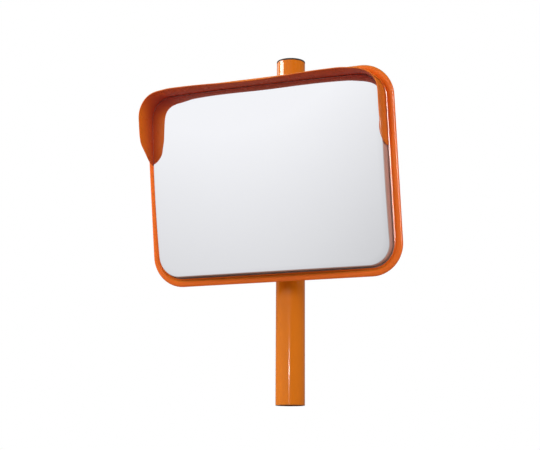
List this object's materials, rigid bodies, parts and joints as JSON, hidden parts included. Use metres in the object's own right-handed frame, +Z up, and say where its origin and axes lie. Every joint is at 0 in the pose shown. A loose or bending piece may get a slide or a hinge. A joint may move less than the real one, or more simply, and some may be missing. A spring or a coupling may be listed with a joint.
{
  "type": "traffic convex mirror",
  "caption": "Rectangular convex road mirror with a rounded rim and a glare hood, on a tilting bracket clamped to a round post.",
  "frame": {"origin": "centre of the post's foot, on the post's axis", "axes": "+Z up along the post; the mirror looks along -Y at rest, tipped forward 9 degrees; +X is to the right as one faces the mirror"},
  "size_m": [0.6846, 0.3205, 0.926],
  "materials": {
    "post_paint": "gloss orange paint",
    "cap_plastic": "dark brown moulded plastic",
    "liner_rubber": "matt black rubber",
    "bracket_paint": "satin orange paint",
    "zinc": "bright zinc plate",
    "mirror": "silvered acrylic",
    "gasket_rubber": "matt black rubber",
    "rim_plastic": "gloss orange moulding",
    "hood_plastic": "gloss orange moulding",
    "shell_plastic": "satin orange moulding"
  },
  "bodies": {
    "post": {"post_tube": "post_paint", "post_cap": "cap_plastic"},
    "liner": {"clamp_liner": "liner_rubber"},
    "clamp": {"clamp_front": "bracket_paint", "clamp_rear": "bracket_paint", "clamp_bolt_1": "zinc", "clamp_washer_1": "zinc", "clamp_nut_1": "zinc", "clamp_bolt_2": "zinc", "clamp_washer_2": "zinc", "clamp_nut_2": "zinc", "clamp_bolt_3": "zinc", "clamp_washer_3": "zinc", "clamp_nut_3": "zinc", "clamp_bolt_4": "zinc", "clamp_washer_4": "zinc", "clamp_nut_4": "zinc"},
    "head": {"tilt_bracket": "bracket_paint", "backing_plate": "zinc", "pivot_bolt": "zinc", "pivot_washer_1": "zinc", "pivot_washer_2": "zinc", "pivot_nut": "zinc", "lock_bolt": "zinc", "lock_washer_1": "zinc", "lock_washer_2": "zinc", "lock_nut": "zinc", "base_bolt_1": "zinc", "base_nut_1": "zinc", "base_bolt_2": "zinc", "base_nut_2": "zinc", "base_bolt_3": "zinc", "base_nut_3": "zinc", "base_bolt_4": "zinc", "base_nut_4": "zinc", "frame_screw_1": "zinc", "frame_screw_2": "zinc", "frame_screw_3": "zinc", "frame_screw_4": "zinc", "frame_screw_5": "zinc", "frame_screw_6": "zinc", "frame_screw_7": "zinc", "frame_screw_8": "zinc", "frame_screw_9": "zinc", "frame_screw_10": "zinc", "mirror_panel": "mirror", "gasket": "gasket_rubber", "rim_frame": "rim_plastic", "hood": "hood_plastic", "back_shell": "shell_plastic"}
  },
  "joints": [
    {"name": "height_slide", "type": "slide", "parent": "post", "child": "liner", "axis": [0, 0, 1], "range_m": [-0.2, 0.27]},
    {"name": "swivel", "type": "hinge", "parent": "liner", "child": "clamp", "pos_m": [0, 0, 0.577], "axis": [0, 0, 1], "continuous": true},
    {"name": "tilt", "type": "hinge", "parent": "clamp", "child": "head", "pos_m": [0, -0.083, 0.577], "axis": [1, 0, 0], "range_deg": [-14, 6]}
  ]
}
